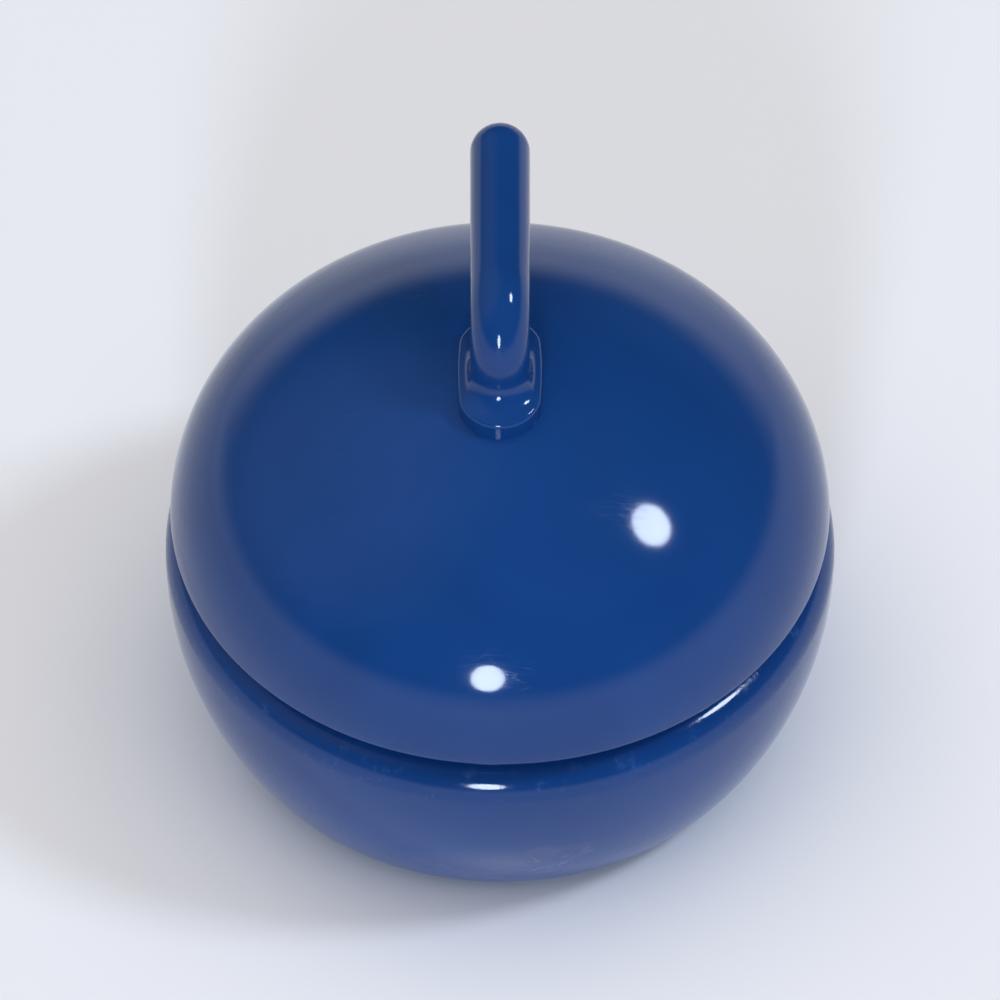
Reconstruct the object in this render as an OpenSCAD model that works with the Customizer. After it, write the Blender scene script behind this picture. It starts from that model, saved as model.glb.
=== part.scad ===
// A table-top curling stone that rolls on one captive steel ball.
// Z is up, the ball touches the table at the origin, and the handle points along +Y.

/* [Stone] */
// Widest diameter of the stone
stone_d = 27; // [26.5:0.1:28.5]
// Height of the parting line above the underside
base_h = 9.9; // [9.6:0.1:10.8]
// Height of the dome above the parting line
dome_h = 9.2; // [9:0.1:10]
// Radius of the dome's side, where it rises from the parting line
dome_side_r = 6.8; // [6.2:0.1:7.4]
// How far the dome's foot stands in from the widest diameter
dome_inset = 0.2; // [0:0.1:0.4]
// Chamfer on the dome's foot
foot_chamfer = 0.3; // [0.2:0.1:0.5]
// Radius of the bulging side below the groove
belly_r = 14.2; // [13.4:0.1:16]
// Radius of the rounded shoulder under the groove
shoulder_r = 1.4; // [1.2:0.1:1.8]
// Radius of the edge round the underside
lower_edge_r = 1.2; // [0.8:0.1:1.4]
// Height of the groove between the two shells
groove_h = 0.8; // [0.6:0.1:1.2]
// Depth of the groove
groove_depth = 1; // [0.7:0.1:1.1]

/* [Walls] */
// Wall of the dome
shell_wall = 1.5; // [1.4:0.1:1.7]
// Wall of the lip that stands inside the dome
lip_wall = 0.8; // [0.7:0.1:1]
// Height of that lip above the parting line
lip_h = 1.4; // [1:0.1:1.8]
// Thickness of the floor
floor_t = 1.6; // [1.5:0.1:1.8]
// Thickness of the ledge that carries the retainer
ledge_t = 0.6; // [0.5:0.1:0.8]
// Width of that ledge
ledge_w = 1.6; // [1.4:0.1:2]
// Diameter of the three screw posts
post_d = 3.4; // [3.2:0.1:3.6]
// Thickness of the ribs behind the posts
rib_t = 0.8; // [0.7:0.1:1]

/* [Ball] */
// Diameter of the ball
ball_d = 10; // [9.5:0.1:10.4]
// How far the ball stands out of the underside
ball_proud = 0.6; // [0.5:0.1:0.8]
// Running clearance all round the ball
ball_gap = 0.08; // [0.04:0.01:0.1]
// Wall of the cup and the retainer at the ball's widest
cup_wall = 0.9; // [0.8:0.1:1]
// Roof of the cup over the ball
cup_roof = 1.1; // [1:0.1:1.2]
// Height of the cup's spigot
spigot_h = 0.8; // [0.6:0.1:1]
// Wall of the cup's spigot and of the ring that holds it
ring_wall = 1.3; // [1.1:0.1:1.4]

/* [Screws] */
// Thread diameter of the screws
screw_d = 1.7; // [1.6:0.1:1.8]
// Diameter of the screw heads
screw_head_d = 3; // [2.8:0.1:3.2]
// Height of the screw heads
screw_head_h = 1.1; // [1:0.1:1.2]
// Length of the base screws under the head
base_screw_len = 8; // [6:0.5:9]
// Length of the handle screw under the head
handle_screw_len = 4.6; // [4.2:0.1:4.8]
// How deep the base screws' heads lie inside the underside
head_sink = 1; // [0.6:0.1:1.4]
// Diameter of the washer under the handle screw
washer_d = 4; // [3.8:0.1:4.2]
// Thickness of that washer
washer_t = 0.3; // [0.2:0.1:0.4]

/* [Handle] */
// Diameter of the handle's bar
handle_d = 2.4; // [2.3:0.1:2.6]
// Height of the handle above the crown
handle_h = 5; // [4.8:0.1:6]
// Distance of the grip's tip from the stone's axis
handle_reach = 9.2; // [7:0.1:10.5]
// Distance of the neck behind the stone's axis
neck_back = 1.2; // [1:0.1:1.4]
// Radius of the bend, along the bar's middle
bend_r = 2.2; // [1.9:0.1:2.3]
// Length of the pad under the neck
pad_len = 5.6; // [5.4:0.1:6]
// Width of the pad
pad_w = 3.4; // [3.3:0.1:3.8]
// Thickness of the pad
pad_t = 0.8; // [0.7:0.1:1]
// Height of the flare at the neck's root
flare_h = 0.9; // [0.7:0.1:1]
// Diameter of the peg that keeps the handle from turning
peg_d = 1.2; // [1:0.1:1.3]

/* [Fits] */
// Gap between the lip and the dome's wall
lip_fit = 0.1; // [0.06:0.01:0.14]
// Gap between a screw and the hole it passes through
screw_fit = 0.1; // [0.08:0.01:0.14]
// Gap between a thread and the hole it bites in
thread_fit = 0.02; // [0.01:0.01:0.03]
// Gap round the cup's spigot, the retainer and the peg
seat_fit = 0.05; // [0.03:0.01:0.08]
// Gap between a screw's head and its counterbore
head_fit = 0.15; // [0.1:0.01:0.2]
// Room beyond a screw's tip
tip_room = 0.6; // [0.5:0.1:1]

/* [Hidden] */
$fn = 96;
arc_step = 4;      // degrees between the points of a rounded outline
over = 1;          // how far a cut runs past what it cuts
stone_r = stone_d / 2;
ball_r = ball_d / 2;
socket_r = ball_r + ball_gap;

base_z = ball_proud;                      // the underside
parting_z = base_z + base_h;
crown_z = parting_z + dome_h;

// The dome is a three-centred arch: a side arc and a crown arc that share a tangent.
dome_r = stone_r - dome_inset;
side_x = dome_r - dome_side_r;
crown_drop = (side_x * side_x - pow(dome_h - dome_side_r, 2)) / (2 * (dome_h - dome_side_r));
crown_r = crown_drop + dome_h;
crown_c = parting_z - crown_drop;
join_angle = atan2(crown_drop, side_x);

// The groove's floor is the lower shell's collar, which carries the dome's foot.
collar_r = stone_r - groove_depth;
shoulder_end = acos((shoulder_r - groove_depth) / shoulder_r);
shoulder_z = parting_z - groove_h - shoulder_r * sin(shoulder_end);
lip_r = dome_r - shell_wall - lip_fit;
inner_r = lip_r - lip_wall;
floor_z = base_z + floor_t;

// Below the shoulder the side bulges on one arc, which runs into the rounded lower edge.
belly_x = stone_r - belly_r;
edge_z = base_z + lower_edge_r;
edge_x = belly_x + sqrt(pow(belly_r - lower_edge_r, 2) - pow(shoulder_z - edge_z, 2));
edge_angle = atan2(edge_z - shoulder_z, edge_x - belly_x);

// The ball's bearing: retainer below its middle, cup above it.
cup_r = socket_r + cup_wall;
ledge_z = base_z + ledge_t;
cup_top_z = ball_r + socket_r + cup_roof;
spigot_r = cup_r - ring_wall - seat_fit;

// The screws' heads face down. Base screws stand on a circle just outside the cup.
thread_r = screw_d / 2;
head_bore_r = screw_head_d / 2 + head_fit;
boss_wall = 0.6;   // wall round a counterbore
boss_roof = 1.6;   // what a base screw's head clamps
screw_circle_r = cup_r + seat_fit + boss_wall + head_bore_r;
head_seat_z = base_z + head_sink + screw_head_h;
boss_top_z = head_seat_z + boss_roof;
boss_h = boss_top_z - base_z;
cross_w = 0.5;     // width of a screw's cross recess
cross_len = 1.8;
cross_depth = 0.6;
tip_flat_r = 0.2;  // flat at a screw's tip

// The handle's pad lies on the crown, and its neck stands behind the axis.
land_t = 0.5;      // how far the washer's flat land stands in from the crown's wall
land_margin = 0.3; // land left round the washer
peg_wall = 1;      // wall round the peg's hole
peg_margin = 0.7;  // pad left beyond the peg
pad_shift = 0.45;  // how far the pad's middle lies ahead of the neck
flare_margin = 0.1; // pad left beside the flare
flare_sink = 0.2;  // how deep the flare starts inside the pad
rib_room = 0.3;    // between a post's rib and the lip below it
seat_land_z = crown_z - shell_wall - land_t;
neck_y = -neck_back;
pad_y = neck_y + pad_shift;
peg_y = pad_y + pad_len / 2 - peg_margin - peg_d / 2;
grip_z = crown_z + handle_h - handle_d / 2;

function arc(centre, r, from, to) =
  let (n = ceil(abs(to - from) / arc_step))
  [for (i = [0:n]) let (a = from + (to - from) * i / n) centre + r * [cos(a), sin(a)]];

// Dome outline, inset from the outer surface, with its foot at foot_z.
function dome_outline(inset, foot_z, side_from = 0) = concat(
  [[0, foot_z], [dome_r - inset - (inset == 0 ? foot_chamfer : 0), foot_z]],
  arc([side_x, parting_z], dome_side_r - inset, side_from, join_angle),
  arc([0, crown_c], crown_r - inset, join_angle + arc_step, 90)
);

module dome_solid() {
  rotate_extrude() polygon(dome_outline(0, parting_z, asin(foot_chamfer / dome_side_r)));
}

module ring_of_three() {
  for (i = [0:2]) rotate([0, 0, 120 * i]) translate([0, screw_circle_r, 0]) children();
}

module post() {
  cylinder(h = crown_z - boss_top_z, d = post_d);
  translate([-rib_t / 2, 0, parting_z + lip_h + rib_room - boss_top_z])
    cube([rib_t, inner_r - screw_circle_r, dome_h]);
}

module upper_shell() {
  color("#1b4a8c") difference() {
    union() {
      difference() {
        dome_solid();
        rotate_extrude() polygon(dome_outline(shell_wall, parting_z - over));
        translate([0, 0, parting_z - over]) cylinder(h = lip_h + lip_fit + over, r = lip_r + lip_fit);
      }
      intersection() {
        rotate_extrude() polygon(dome_outline(shell_wall / 2, base_z));
        union() {
          ring_of_three() translate([0, 0, boss_top_z]) post();
          translate([0, 0, cup_top_z]) difference() {
            cylinder(h = dome_h, r = cup_r);
            translate([0, 0, -over]) cylinder(h = dome_h + 2 * over, r = cup_r - ring_wall);
          }
          translate([0, neck_y, seat_land_z]) cylinder(h = dome_h, d = washer_d + 2 * land_margin);
          translate([0, peg_y, seat_land_z]) cylinder(h = dome_h, d = peg_d + 2 * peg_wall);
        }
      }
    }
    ring_of_three() translate([0, 0, boss_top_z - over])
      cylinder(h = head_seat_z + base_screw_len + tip_room - boss_top_z + over, r = thread_r + thread_fit);
    translate([0, neck_y, seat_land_z - over]) cylinder(h = dome_h, r = thread_r + screw_fit);
    translate([0, peg_y, seat_land_z - over]) cylinder(h = dome_h, d = peg_d + 2 * seat_fit);
  }
}

module lower_shell() {
  color("#1b4a8c") difference() {
    union() {
      difference() {
        rotate_extrude() polygon(concat(
          [[0, base_z]],
          arc([edge_x, edge_z], lower_edge_r, -90, edge_angle),
          arc([belly_x, shoulder_z], belly_r, edge_angle + arc_step / 2, 0),
          arc([stone_r - shoulder_r, shoulder_z], shoulder_r, arc_step, shoulder_end),
          [[collar_r, parting_z], [0, parting_z]]
        ));
        translate([0, 0, floor_z]) cylinder(h = base_h, r = inner_r);
      }
      difference() {
        translate([0, 0, parting_z - lip_h]) cylinder(h = 2 * lip_h, r = lip_r);
        translate([0, 0, parting_z - lip_h - over]) cylinder(h = 2 * lip_h + 2 * over, r = inner_r);
      }
      translate([0, 0, base_z]) cylinder(h = boss_h, r = cup_r + seat_fit + boss_wall);
      ring_of_three() translate([0, 0, base_z]) cylinder(h = boss_h, r = head_bore_r + boss_wall);
    }
    translate([0, 0, base_z - over]) cylinder(h = base_h, r = cup_r + seat_fit - ledge_w);
    translate([0, 0, ledge_z]) cylinder(h = base_h, r = cup_r + seat_fit);
    ring_of_three() {
      translate([0, 0, base_z - over]) cylinder(h = head_seat_z - base_z + over, r = head_bore_r);
      translate([0, 0, base_z]) cylinder(h = base_h, r = thread_r + screw_fit);
    }
  }
}

module handle_bar() {
  bend_z = grip_z - bend_r;
  neck_from = crown_z - over;
  grip_from = neck_y + bend_r;
  grip_r = handle_d / 2;
  translate([0, neck_y, neck_from]) cylinder(h = bend_z - neck_from, r = grip_r);
  translate([0, neck_y, crown_z + pad_t - flare_sink])
    cylinder(h = flare_h, r1 = pad_w / 2 - flare_margin, r2 = grip_r);
  translate([0, neck_y + bend_r, bend_z]) rotate([90, 0, -90])
    rotate_extrude(angle = 90) translate([bend_r, 0]) circle(r = grip_r);
  translate([0, grip_from, grip_z]) rotate([-90, 0, 0])
    rotate_extrude() polygon(concat(
      [[0, 0], [grip_r, 0]],
      arc([0, handle_reach - grip_from - grip_r], grip_r, 0, 90)
    ));
}

module handle() {
  hole_top = seat_land_z - washer_t + handle_screw_len + tip_room;
  color("#1b4a8c") difference() {
    union() {
      difference() {
        union() {
          handle_bar();
          intersection() {
            translate([0, 0, crown_z - over]) linear_extrude(over + pad_t) union() {
              for (s = [-1, 1]) translate([0, pad_y + s * (pad_len - pad_w) / 2]) circle(d = pad_w);
              translate([-pad_w / 2, pad_y - (pad_len - pad_w) / 2]) square([pad_w, pad_len - pad_w]);
            }
            translate([0, 0, crown_c]) sphere(r = crown_r + pad_t);
          }
        }
        dome_solid();
      }
      translate([0, peg_y, crown_z - shell_wall]) cylinder(h = shell_wall + pad_t / 2, d = peg_d);
    }
    translate([0, neck_y, crown_z - over])
      cylinder(h = hole_top - crown_z + over, r = thread_r + thread_fit);
  }
}

// A pan-head screw, seated at z = 0 with its head below and its thread above.
module screw(length) {
  head_r = screw_head_d / 2;
  difference() {
    union() {
      rotate_extrude() polygon(concat(
        [[0, 0], [head_r, 0]],
        arc([head_r - screw_head_h / 2, -screw_head_h / 2], screw_head_h / 2, 0, -90),
        [[0, -screw_head_h]]
      ));
      cylinder(h = length - thread_r, r = thread_r);
      translate([0, 0, length - thread_r]) cylinder(h = thread_r, r1 = thread_r, r2 = tip_flat_r);
    }
    for (a = [0, 90]) rotate([0, 0, a])
      translate([-cross_len / 2, -cross_w / 2, -screw_head_h - over])
        cube([cross_len, cross_w, cross_depth + over]);
  }
}

module handle_screw() {
  color("#c9ccd0") translate([0, neck_y, seat_land_z - washer_t]) screw(handle_screw_len);
}

module handle_washer() {
  color("#c9ccd0") translate([0, neck_y, seat_land_z - washer_t]) difference() {
    cylinder(h = washer_t, d = washer_d);
    translate([0, 0, -over]) cylinder(h = washer_t + 2 * over, r = thread_r + screw_fit);
  }
}

module ball_cup() {
  color("#eeeae0") difference() {
    union() {
      translate([0, 0, ball_r]) cylinder(h = cup_top_z - ball_r, r = cup_r);
      translate([0, 0, ball_r]) cylinder(h = cup_top_z + spigot_h - ball_r, r = spigot_r);
    }
    translate([0, 0, ball_r]) sphere(r = socket_r);
    translate([0, 0, cup_top_z]) cylinder(h = spigot_h + over, r = spigot_r - ring_wall);
  }
}

module ball_retainer() {
  color("#eeeae0") difference() {
    translate([0, 0, ledge_z]) cylinder(h = ball_r - ledge_z, r = cup_r);
    translate([0, 0, ball_r]) sphere(r = socket_r);
  }
}

module ball() {
  color("#d5d8dc") translate([0, 0, ball_r]) sphere(r = ball_r);
}

module base_screw(i) {
  color("#c9ccd0") rotate([0, 0, 120 * (i - 1)]) translate([0, screw_circle_r, head_seat_z])
    screw(base_screw_len);
}

upper_shell();
lower_shell();
handle();
handle_screw();
handle_washer();
ball_cup();
ball_retainer();
ball();
base_screw(1);  // base_screw_1
base_screw(2);  // base_screw_2
base_screw(3);  // base_screw_3
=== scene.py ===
import math

import bmesh
import bpy
import numpy as np
from mathutils import Matrix, Vector


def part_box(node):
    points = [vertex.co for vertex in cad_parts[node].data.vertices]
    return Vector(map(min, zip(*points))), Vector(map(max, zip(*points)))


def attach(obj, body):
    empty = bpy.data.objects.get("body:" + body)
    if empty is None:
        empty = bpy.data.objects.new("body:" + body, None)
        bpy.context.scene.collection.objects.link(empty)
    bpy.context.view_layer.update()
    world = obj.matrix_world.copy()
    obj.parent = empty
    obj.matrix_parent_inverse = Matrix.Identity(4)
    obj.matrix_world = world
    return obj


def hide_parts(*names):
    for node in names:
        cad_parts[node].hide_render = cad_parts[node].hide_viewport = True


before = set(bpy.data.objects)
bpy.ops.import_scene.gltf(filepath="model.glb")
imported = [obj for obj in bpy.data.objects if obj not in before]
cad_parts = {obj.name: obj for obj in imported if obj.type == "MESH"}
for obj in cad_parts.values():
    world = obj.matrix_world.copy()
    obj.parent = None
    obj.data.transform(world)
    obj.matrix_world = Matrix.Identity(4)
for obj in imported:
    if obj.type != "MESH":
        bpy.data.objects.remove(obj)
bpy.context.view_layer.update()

mm = 0.001
print("frame loaded:", len(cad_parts), "nodes")


# small helpers

weldDistance = 0.0004 * mm


def hexToLinear(code):
    channels = [int(code[i:i + 2], 16) / 255 for i in (1, 3, 5)]
    linear = [c / 12.92 if c <= 0.04045 else ((c + 0.055) / 1.055) ** 2.4 for c in channels]
    return (*linear, 1.0)


def direction(azimuth, elevation):
    a, e = math.radians(azimuth), math.radians(elevation)
    return Vector((math.cos(a) * math.cos(e), math.sin(a) * math.cos(e), math.sin(e)))


def addNode(tree, kind, settings=None, links=None):
    # lower-case settings are the node's own, the others are its input sockets
    node = tree.nodes.new(kind)
    for key, value in (settings or {}).items():
        if isinstance(key, str) and hasattr(node, key):
            setattr(node, key, value)
        else:
            node.inputs[key].default_value = value
    for key, source in (links or {}).items():
        tree.links.new(source, node.inputs[key])
    return node


def addObject(name, data):
    obj = bpy.data.objects.new(name, data)
    bpy.context.scene.collection.objects.link(obj)
    return obj


def meshObject(name, vertices, edges=(), faces=()):
    mesh = bpy.data.meshes.new(name)
    mesh.from_pydata([tuple(v) for v in vertices], list(edges), list(faces))
    return addObject(name, mesh)


def workObject(name, work):
    mesh = bpy.data.meshes.new(name)
    work.to_mesh(mesh)
    work.free()
    return addObject(name, mesh)


def bakeModifiers(obj):
    # the evaluated result becomes a plain mesh, and the modifiers go
    graph = bpy.context.evaluated_depsgraph_get()
    baked = bpy.data.meshes.new_from_object(obj.evaluated_get(graph))
    old = obj.data
    obj.modifiers.clear()
    obj.data = baked
    bpy.data.meshes.remove(old)
    baked.name = obj.name
    return obj


def cleanMesh(obj, sharpDegrees=32):
    work = bmesh.new()
    work.from_mesh(obj.data)
    bmesh.ops.remove_doubles(work, verts=work.verts, dist=weldDistance)
    bmesh.ops.dissolve_degenerate(work, edges=work.edges, dist=weldDistance)
    bmesh.ops.recalc_face_normals(work, faces=work.faces)
    work.to_mesh(obj.data)
    work.free()
    for polygon in obj.data.polygons:
        polygon.use_smooth = True
    obj.data.set_sharp_from_angle(angle=math.radians(sharpDegrees))
    return obj


def setMaterial(obj, material):
    obj.data.materials.clear()
    obj.data.materials.append(material)
    for polygon in obj.data.polygons:
        polygon.material_index = 0


def arcPoints(centre, radius, fromDegrees, toDegrees, step=1.5):
    count = max(2, math.ceil(abs(toDegrees - fromDegrees) / step))
    angles = [math.radians(fromDegrees + (toDegrees - fromDegrees) * i / count) for i in range(count + 1)]
    return [(centre[0] + radius * math.cos(a), centre[1] + radius * math.sin(a)) for a in angles]


def skinFaces(ringCount, ringPoints):
    # joins rings of points, which are followed by one point that closes the first ring and one for the last
    sides = [(i, (i + 1) % ringPoints) for i in range(ringPoints)]
    last = (ringCount - 1) * ringPoints
    foot = last + ringPoints
    faces = []
    for low in range(0, last, ringPoints):
        high = low + ringPoints
        faces.extend((low + i, low + j, high + j, high + i) for i, j in sides)
    for i, j in sides:
        faces.append((foot, j, i))
        faces.append((foot + 1, last + i, last + j))
    return faces


# materials

def startMaterial(name):
    material = bpy.data.materials.new(name)
    material.use_nodes = True
    tree = material.node_tree
    tree.nodes.clear()
    shader = addNode(tree, "ShaderNodeBsdfPrincipled")
    addNode(tree, "ShaderNodeOutputMaterial", links={"Surface": shader.outputs["BSDF"]})
    return material, tree, shader


def fineLines(tree, noise, width):
    # a noise draws a line wherever it passes its middle value
    offset = addNode(tree, "ShaderNodeMath", {"operation": "SUBTRACT", 1: 0.5}, {0: noise}).outputs[0]
    size = addNode(tree, "ShaderNodeMath", {"operation": "ABSOLUTE"}, {0: offset}).outputs[0]
    return addNode(tree, "ShaderNodeMapRange", {"From Max": width, "To Min": 1.0, "To Max": 0.0},
                   {"Value": size}).outputs[0]


glossAbs = {
    "pigment": "#154384",
    "pigmentDeep": "#113973",
    "pigmentScuffed": "#3a66a3",
    "ior": 1.46,
    "specular": 0.42,
    "roughness": 0.075,
    "scuffRoughness": 0.34,
    "flowSize": 7.0,          # mm, drift of the pigment from the gate
    "peelSize": 1.3,          # mm, ripples of the polished mould
    "peelDepth": 0.0022,      # mm
    "scratchSpacing": 0.9,    # mm, drawn coarser than real hairlines so that they show
    "scratchStretch": 16,     # times as long as wide
    "scratchCell": 0.35,      # the noise's cell across the lines, in spacings
    "scratchWidth": 0.006,    # in the noise's own range of 0 to 1
    "scratchTurns": ((0.5, 0.2, 0.3), (-0.3, 0.6, 1.4), (0.1, -0.5, 2.3)),  # radians
    "wornSize": 4.5,          # mm, patches that have more hairlines
    "wornRange": (0.45, 0.7),
    "bandLow": 7.6,           # mm, height of the band where stones strike each other
    "bandHigh": 10.2,
    "bandCore": 0.3,          # share of the band that is scuffed in full
    "scuffSize": 0.7,         # mm
    "scuffRange": (0.56, 0.68),
    "scuffPaleness": 0.16,
    "scuffDepth": 0.003,      # mm
}


def makeGlossAbs(s):
    # ABS moulded in a polished steel mould: deep even blue, sharp highlights that ripple a little,
    # and a ring of fine scuffs where stones strike each other
    material, tree, shader = startMaterial("mouldedGlossAbs")
    place = addNode(tree, "ShaderNodeTexCoord").outputs["Object"]
    flow = addNode(tree, "ShaderNodeTexNoise",
                   {"Scale": 1 / (s["flowSize"] * mm), "Detail": 2.0, "Distortion": 0.6}, {"Vector": place})
    pigment = addNode(tree, "ShaderNodeMix", {"data_type": "RGBA", 6: hexToLinear(s["pigment"]),
                                              7: hexToLinear(s["pigmentDeep"])}, {0: flow.outputs[0]})
    hairlines = None
    cell = s["scratchSpacing"] * s["scratchStretch"] * s["scratchCell"] * mm
    for turn in s["scratchTurns"]:
        grain = addNode(tree, "ShaderNodeMapping", {"Rotation": turn, "Scale": (1, s["scratchStretch"], 1)},
                        {"Vector": place}).outputs[0]
        noise = addNode(tree, "ShaderNodeTexNoise", {"Scale": 1 / cell, "Detail": 3.0}, {"Vector": grain})
        lines = fineLines(tree, noise.outputs[0], s["scratchWidth"])
        if hairlines is not None:
            lines = addNode(tree, "ShaderNodeMath", {"operation": "MAXIMUM"},
                            {0: hairlines, 1: lines}).outputs[0]
        hairlines = lines
    patches = addNode(tree, "ShaderNodeTexNoise", {"Scale": 1 / (s["wornSize"] * mm), "Detail": 2.0},
                      {"Vector": place})
    worn = addNode(tree, "ShaderNodeMapRange", {"From Min": s["wornRange"][0], "From Max": s["wornRange"][1]},
                   {"Value": patches.outputs[0]})
    hair = addNode(tree, "ShaderNodeMath", {"operation": "MULTIPLY"}, {0: hairlines, 1: worn.outputs[0]})

    height = addNode(tree, "ShaderNodeSeparateXYZ", links={"Vector": place}).outputs["Z"]
    middle = (s["bandLow"] + s["bandHigh"]) / 2 * mm
    half = (s["bandHigh"] - s["bandLow"]) / 2 * mm
    away = addNode(tree, "ShaderNodeMath", {"operation": "SUBTRACT", 1: middle}, {0: height})
    far = addNode(tree, "ShaderNodeMath", {"operation": "ABSOLUTE"}, {0: away.outputs[0]})
    band = addNode(tree, "ShaderNodeMapRange",
                   {"From Min": half * s["bandCore"], "From Max": half, "To Min": 1.0, "To Max": 0.0},
                   {"Value": far.outputs[0]})
    speck = addNode(tree, "ShaderNodeTexNoise",
                    {"Scale": 1 / (s["scuffSize"] * mm), "Detail": 4.0, "Roughness": 0.65}, {"Vector": place})
    chips = addNode(tree, "ShaderNodeMapRange",
                    {"From Min": s["scuffRange"][0], "From Max": s["scuffRange"][1]},
                    {"Value": speck.outputs[0]})
    scuffed = addNode(tree, "ShaderNodeMath", {"operation": "MULTIPLY"},
                      {0: band.outputs[0], 1: chips.outputs[0]}).outputs[0]
    wear = addNode(tree, "ShaderNodeMath", {"operation": "MAXIMUM"}, {0: scuffed, 1: hair.outputs[0]})

    pale = addNode(tree, "ShaderNodeMath", {"operation": "MULTIPLY", 1: s["scuffPaleness"]}, {0: scuffed})
    colour = addNode(tree, "ShaderNodeMix", {"data_type": "RGBA", 7: hexToLinear(s["pigmentScuffed"])},
                     {0: pale.outputs[0], 6: pigment.outputs[2]})
    tree.links.new(colour.outputs[2], shader.inputs["Base Color"])
    rough = addNode(tree, "ShaderNodeMapRange", {"To Min": s["roughness"], "To Max": s["scuffRoughness"]},
                    {"Value": wear.outputs[0]})
    tree.links.new(rough.outputs[0], shader.inputs["Roughness"])
    peel = addNode(tree, "ShaderNodeTexNoise", {"Scale": 1 / (s["peelSize"] * mm), "Detail": 1.5},
                   {"Vector": place})
    ripple = addNode(tree, "ShaderNodeBump", {"Strength": 1.0, "Distance": s["peelDepth"] * mm},
                     {"Height": peel.outputs[0]})
    dents = addNode(tree, "ShaderNodeBump",
                    {"Strength": 1.0, "Distance": s["scuffDepth"] * mm, "invert": True},
                    {"Height": scuffed, "Normal": ripple.outputs[0]})
    tree.links.new(dents.outputs[0], shader.inputs["Normal"])
    shader.inputs["IOR"].default_value = s["ior"]
    shader.inputs["Specular IOR Level"].default_value = s["specular"]
    return material


acetal = {
    "colour": "#eae6db",
    "colourCloudy": "#dfdacb",
    "ior": 1.48,
    "roughness": 0.33,
    "cloudyRoughness": 0.5,
    "cloudSize": 3.0,       # mm
    "grainSize": 0.25,      # mm
    "grainStrength": 0.6,
    "ringSpacing": 0.3157,  # mm, marks left by the tool that turned the mould
    "ringStrength": 0.35,
    "reliefDepth": 0.004,   # mm
}


def makeAcetal(s):
    # acetal, moulded: waxy natural white with a satin bloom and faint turning rings
    material, tree, shader = startMaterial("mouldedAcetal")
    place = addNode(tree, "ShaderNodeTexCoord").outputs["Object"]
    cloud = addNode(tree, "ShaderNodeTexNoise", {"Scale": 1 / (s["cloudSize"] * mm), "Detail": 3.0},
                    {"Vector": place})
    colour = addNode(tree, "ShaderNodeMix", {"data_type": "RGBA", 6: hexToLinear(s["colour"]),
                                             7: hexToLinear(s["colourCloudy"])}, {0: cloud.outputs[0]})
    tree.links.new(colour.outputs[2], shader.inputs["Base Color"])
    rough = addNode(tree, "ShaderNodeMapRange", {"To Min": s["roughness"], "To Max": s["cloudyRoughness"]},
                    {"Value": cloud.outputs[0]})
    tree.links.new(rough.outputs[0], shader.inputs["Roughness"])
    # at scale 1 the wave texture runs through 20 radians in each unit
    scale = 2 * math.pi / 20 / (s["ringSpacing"] * mm)
    rings = addNode(tree, "ShaderNodeTexWave", {"wave_type": "RINGS", "rings_direction": "Z", "Scale": scale,
                                                "Distortion": 0.4}, {"Vector": place})
    grain = addNode(tree, "ShaderNodeTexNoise", {"Scale": 1 / (s["grainSize"] * mm), "Detail": 2.0},
                    {"Vector": place})
    depth = s["reliefDepth"] * mm
    turned = addNode(tree, "ShaderNodeBump", {"Strength": s["ringStrength"], "Distance": depth},
                     {"Height": rings.outputs[0]})
    bump = addNode(tree, "ShaderNodeBump", {"Strength": s["grainStrength"], "Distance": depth},
                   {"Height": grain.outputs[0], "Normal": turned.outputs[0]})
    tree.links.new(bump.outputs[0], shader.inputs["Normal"])
    shader.inputs["IOR"].default_value = s["ior"]
    return material


bearingSteel = {
    "colour": "#cfd1d4",
    "colourWorn": "#b3b6bb",
    "roughness": 0.07,
    "wornRoughness": 0.24,
    "lineSpacing": 0.35,  # mm, fine marks from rolling over grit
    "lineCell": 6,        # the noise's cell, in spacings
    "lineWidth": 0.012,   # in the noise's own range of 0 to 1
}


def makeBearingSteel(s):
    # bearing steel, ground and lapped: a dark clear mirror with hairlines where grit has rolled under it
    material, tree, shader = startMaterial("lappedBearingSteel")
    place = addNode(tree, "ShaderNodeTexCoord").outputs["Object"]
    noise = addNode(tree, "ShaderNodeTexNoise", {"Scale": 1 / (s["lineSpacing"] * s["lineCell"] * mm),
                                                 "Detail": 5.0, "Roughness": 0.7, "Distortion": 1.2},
                    {"Vector": place})
    worn = fineLines(tree, noise.outputs[0], s["lineWidth"])
    colour = addNode(tree, "ShaderNodeMix", {"data_type": "RGBA", 6: hexToLinear(s["colour"]),
                                             7: hexToLinear(s["colourWorn"])}, {0: worn})
    tree.links.new(colour.outputs[2], shader.inputs["Base Color"])
    rough = addNode(tree, "ShaderNodeMapRange", {"To Min": s["roughness"], "To Max": s["wornRoughness"]},
                    {"Value": worn})
    tree.links.new(rough.outputs[0], shader.inputs["Roughness"])
    shader.inputs["Metallic"].default_value = 1.0
    return material


zincPlate = {
    "colour": "#c3c7cc",
    "colourDull": "#a2a8ae",
    "roughness": 0.26,
    "dullRoughness": 0.46,
    "crystalSize": 0.28,   # mm, patches of the plating
    "crystalShare": 0.45,  # of the mottle, the rest is softer
    "softSize": 0.6,       # mm
    "bumpStrength": 0.4,
    "bumpDepth": 0.004,    # mm
}


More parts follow.
